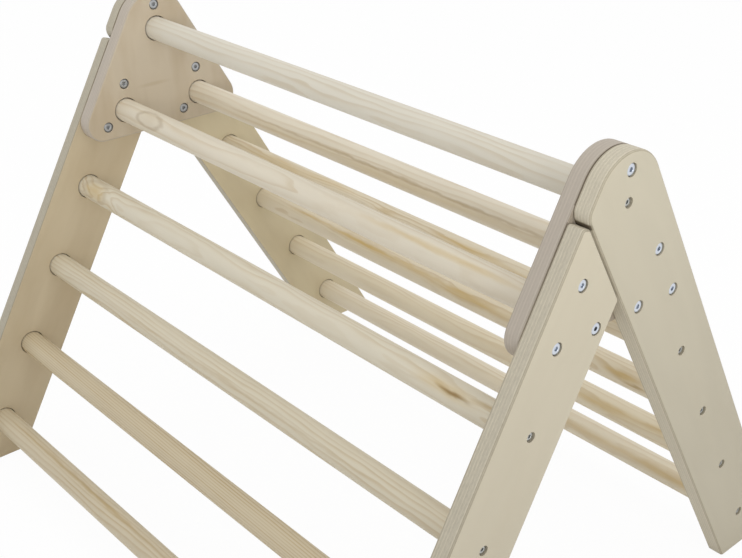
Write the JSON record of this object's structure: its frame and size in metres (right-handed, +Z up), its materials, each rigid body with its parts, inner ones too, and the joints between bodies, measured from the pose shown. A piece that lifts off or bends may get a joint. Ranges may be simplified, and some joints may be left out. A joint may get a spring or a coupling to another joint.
{
  "type": "climbing triangle",
  "caption": "Folding wooden climbing triangle for small children: ladders of round rungs between plywood legs, joined at a rounded apex by gusset plates on which the front one folds.",
  "frame": {"origin": "on the floor, under the middle of the top rung", "axes": "+X along the rungs, +Y from the front ladder, which folds, to the rear ladder, +Z up"},
  "size_m": [0.75, 0.6882, 0.553],
  "materials": {
    "birch_plywood": "sanded birch plywood with a clear matt oil, layered edges showing",
    "pine_rungs": "turned pine dowel, sanded, clear matt oil",
    "zinc_bolts": "bright zinc plate",
    "zinc_sleeve_nuts": "dull zinc plate",
    "zinc_screws": "zinc plate"
  },
  "bodies": {
    "rear_ladder": {"left_rear_leg": "birch_plywood", "right_rear_leg": "birch_plywood", "left_gusset_plate": "birch_plywood", "right_gusset_plate": "birch_plywood", "top_rung": "pine_rungs", "upper_front_rung": "pine_rungs", "upper_rear_rung": "pine_rungs", "rear_rung_1": "pine_rungs", "rear_rung_2": "pine_rungs", "rear_rung_3": "pine_rungs", "rear_rung_4": "pine_rungs", "left_rear_bolts": "zinc_bolts", "right_rear_bolts": "zinc_bolts", "left_rear_sleeve_nuts": "zinc_sleeve_nuts", "right_rear_sleeve_nuts": "zinc_sleeve_nuts", "left_lock_sleeve_nuts": "zinc_sleeve_nuts", "right_lock_sleeve_nuts": "zinc_sleeve_nuts", "left_pivot_bolt": "zinc_bolts", "right_pivot_bolt": "zinc_bolts", "left_pivot_sleeve_nut": "zinc_sleeve_nuts", "right_pivot_sleeve_nut": "zinc_sleeve_nuts", "left_top_rung_screw": "zinc_screws", "right_top_rung_screw": "zinc_screws", "left_rear_rung_screws": "zinc_screws", "right_rear_rung_screws": "zinc_screws", "left_gusset_rung_screws": "zinc_screws", "right_gusset_rung_screws": "zinc_screws"},
    "front_ladder": {"left_front_leg": "birch_plywood", "right_front_leg": "birch_plywood", "front_rung_1": "pine_rungs", "front_rung_2": "pine_rungs", "front_rung_3": "pine_rungs", "front_rung_4": "pine_rungs", "left_lock_bolts": "zinc_bolts", "right_lock_bolts": "zinc_bolts", "left_front_rung_screws": "zinc_screws", "right_front_rung_screws": "zinc_screws"}
  },
  "joints": [
    {"name": "front_ladder_fold", "type": "hinge", "parent": "rear_ladder", "child": "front_ladder", "pos_m": [0, -0.0289, 0.40077], "axis": [1, 0, 0], "range_deg": [0, 60]}
  ]
}
